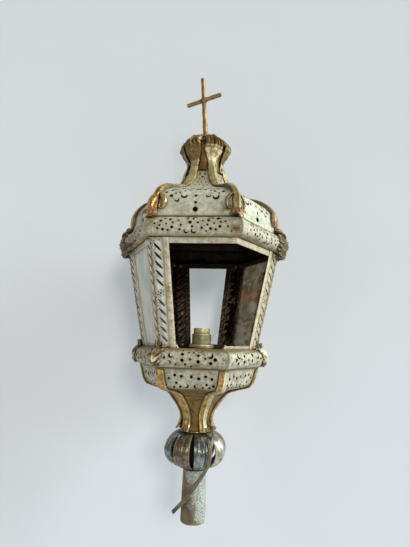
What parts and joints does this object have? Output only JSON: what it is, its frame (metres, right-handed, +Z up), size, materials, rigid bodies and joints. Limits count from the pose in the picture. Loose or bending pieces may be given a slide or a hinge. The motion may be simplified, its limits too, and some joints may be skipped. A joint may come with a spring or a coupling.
{
  "type": "processional lantern",
  "caption": "Six-sided processional lantern with a pierced roof and base, slotted corner posts, a leaf crown with a cross, and a pole socket under a petalled knob.",
  "frame": {"origin": "centre of the pole socket's mouth", "axes": "+Z up along the pole, -Y to the open front face, +X to the right-hand corner post"},
  "size_m": [0.2816, 0.2406, 0.7255],
  "materials": {
    "tarnished_silver": "worn silvered brass, tarnished, pierced",
    "worn_silver": "worn silvered brass with brown stains",
    "gilt": "old gilding, matt and rubbed",
    "dark_gilt": "dark rubbed gilding",
    "cross_gilt": "rubbed gilding on round rod",
    "cream_rail": "worn cream paint",
    "dark_core": "unpolished dark brown",
    "brass": "dull brass",
    "old_glass": "old glass with a film of dirt",
    "porcelain": "glazed, aged",
    "flex": "golden brown plastic insulation"
  },
  "bodies": {
    "lantern": {"pole_socket": "worn_silver", "core_tube": "dark_core", "knob_collar_low": "dark_gilt", "knob_petals": "tarnished_silver", "knob_collar_high": "dark_gilt", "stem": "tarnished_silver", "base_rib_1": "gilt", "base_rib_2": "gilt", "base_rib_3": "gilt", "base_rib_4": "gilt", "base_rib_5": "gilt", "base_rib_6": "gilt", "bowl": "tarnished_silver", "gallery": "tarnished_silver", "foot_leaves": "dark_gilt", "floor_plate": "dark_core", "bottom_rail": "cream_rail", "post_right": "tarnished_silver", "post_back_right": "tarnished_silver", "post_back_left": "tarnished_silver", "post_left": "tarnished_silver", "post_front_left": "tarnished_silver", "glazing_strips": "cream_rail", "rivets": "brass", "pane_back_right": "old_glass", "pane_back_left": "old_glass", "pane_left": "old_glass", "top_rail": "cream_rail", "cornice": "tarnished_silver", "cornice_leaves": "dark_gilt", "roof": "tarnished_silver", "roof_rib_1": "gilt", "roof_rib_2": "gilt", "roof_rib_3": "gilt", "roof_rib_4": "gilt", "roof_rib_5": "gilt", "roof_rib_6": "gilt", "crown_core": "dark_core", "crown_leaves": "gilt", "ferrule": "gilt", "nipple": "brass", "lock_nut": "brass", "holder_base": "brass", "holder_barrel": "brass", "holder_rim": "brass", "insulator": "porcelain", "plungers": "brass", "button_rivet": "brass", "lead": "flex", "flex": "flex"},
    "cross": {"cross_upright": "cross_gilt", "cross_bar": "cross_gilt", "cross_nut": "brass"},
    "shade_ring": {"shade_ring": "brass"},
    "turn_button": {"turn_button": "cream_rail"}
  },
  "joints": [
    {"name": "cross_turn", "type": "hinge", "parent": "lantern", "child": "cross", "pos_m": [0, 0, 0.6053], "axis": [-0.0761, -0.0093, 0.9971], "continuous": true},
    {"name": "shade_ring_turn", "type": "hinge", "parent": "lantern", "child": "shade_ring", "pos_m": [0.004, 0, 0.2536], "axis": [0, 0, 1], "continuous": true},
    {"name": "turn_button_turn", "type": "hinge", "parent": "lantern", "child": "turn_button", "pos_m": [-0.03449, -0.09429, 0.33698], "axis": [0, -0.9835, -0.1811], "range_deg": [-90, 90]}
  ]
}
